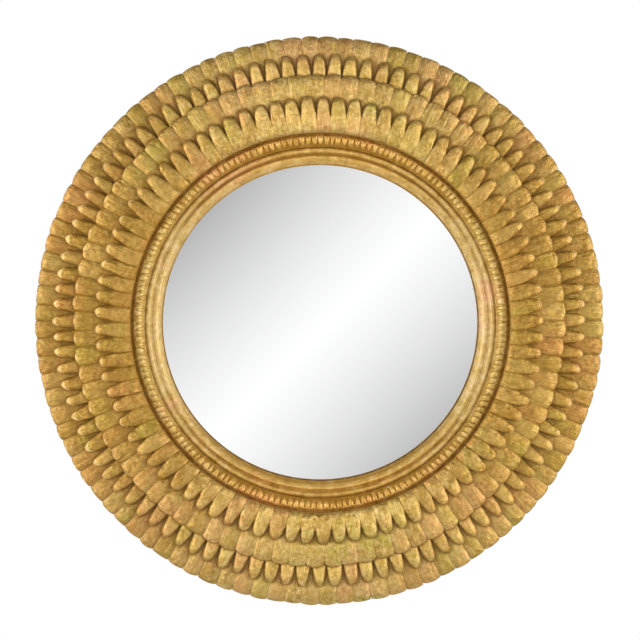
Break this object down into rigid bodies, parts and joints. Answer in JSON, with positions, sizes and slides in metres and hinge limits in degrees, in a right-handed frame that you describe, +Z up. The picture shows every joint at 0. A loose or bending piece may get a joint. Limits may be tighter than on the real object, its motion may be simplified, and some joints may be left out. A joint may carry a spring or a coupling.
{
  "type": "convex wall mirror",
  "caption": "Round convex wall mirror in a wide gilded frame of stepped carved petal rings, with a backboard held by turn buttons and D-rings for hanging.",
  "frame": {"origin": "on the mirror's axis, in the plane of the wall that the bumpers touch", "axes": "+Y towards the wall, so the glass faces -Y; +Z up; +X to the right as seen from the front"},
  "size_m": [0.914, 0.0836, 0.914],
  "materials": {
    "gilding": "satin",
    "silvered_glass": "polished",
    "frame_wood": "matte",
    "hoop_wood": "matte",
    "backboard_wood": "matte",
    "dowel_wood": "matte",
    "felt": "matte",
    "steel": "satin",
    "zinc_steel": "satin",
    "brass": "satin",
    "rubber": "matte"
  },
  "bodies": {
    "frame": {"mirror_glass": "silvered_glass", "carcass_rear": "frame_wood", "carcass_front": "frame_wood", "sight_slip": "gilding", "carved_band": "gilding", "petal_ring_1": "gilding", "petal_ring_2": "gilding", "petal_ring_3": "gilding", "petal_ring_4": "gilding", "front_felt": "felt", "rear_felt": "felt", "retaining_hoop": "hoop_wood", "hoop_screws": "steel", "backboard": "backboard_wood", "carcass_dowels": "dowel_wood", "ring_dowels": "dowel_wood", "band_dowels": "dowel_wood", "slip_brads": "steel", "turn_button_screws": "steel", "strap_hanger_left": "zinc_steel", "strap_hanger_right": "zinc_steel", "hanger_screws": "steel", "wall_bumpers": "rubber", "bumper_screws": "steel"},
    "button_1": {"turn_button_1": "brass"},
    "button_2": {"turn_button_2": "brass"},
    "button_3": {"turn_button_3": "brass"},
    "button_4": {"turn_button_4": "brass"},
    "button_5": {"turn_button_5": "brass"},
    "button_6": {"turn_button_6": "brass"},
    "ring_left": {"d_ring_left": "zinc_steel"},
    "ring_right": {"d_ring_right": "zinc_steel"}
  },
  "joints": [
    {"name": "button_1_turn", "type": "hinge", "parent": "frame", "child": "button_1", "pos_m": [0.296, -0.00475, 0], "axis": [0, 1, 0], "continuous": true},
    {"name": "button_2_turn", "type": "hinge", "parent": "frame", "child": "button_2", "pos_m": [0.148, -0.00475, 0.25634], "axis": [0, 1, 0], "continuous": true},
    {"name": "button_3_turn", "type": "hinge", "parent": "frame", "child": "button_3", "pos_m": [-0.148, -0.00475, 0.25634], "axis": [0, 1, 0], "continuous": true},
    {"name": "button_4_turn", "type": "hinge", "parent": "frame", "child": "button_4", "pos_m": [-0.296, -0.00475, 0], "axis": [0, 1, 0], "continuous": true},
    {"name": "button_5_turn", "type": "hinge", "parent": "frame", "child": "button_5", "pos_m": [-0.148, -0.00475, -0.25634], "axis": [0, 1, 0], "continuous": true},
    {"name": "button_6_turn", "type": "hinge", "parent": "frame", "child": "button_6", "pos_m": [0.148, -0.00475, -0.25634], "axis": [0, 1, 0], "continuous": true},
    {"name": "ring_left_swing", "type": "hinge", "parent": "frame", "child": "ring_left", "pos_m": [-0.31, -0.00325, 0.12], "axis": [1, 0, 0], "range_deg": [0, 180]},
    {"name": "ring_right_swing", "type": "hinge", "parent": "frame", "child": "ring_right", "pos_m": [0.31, -0.00325, 0.12], "axis": [1, 0, 0], "range_deg": [0, 180]}
  ]
}
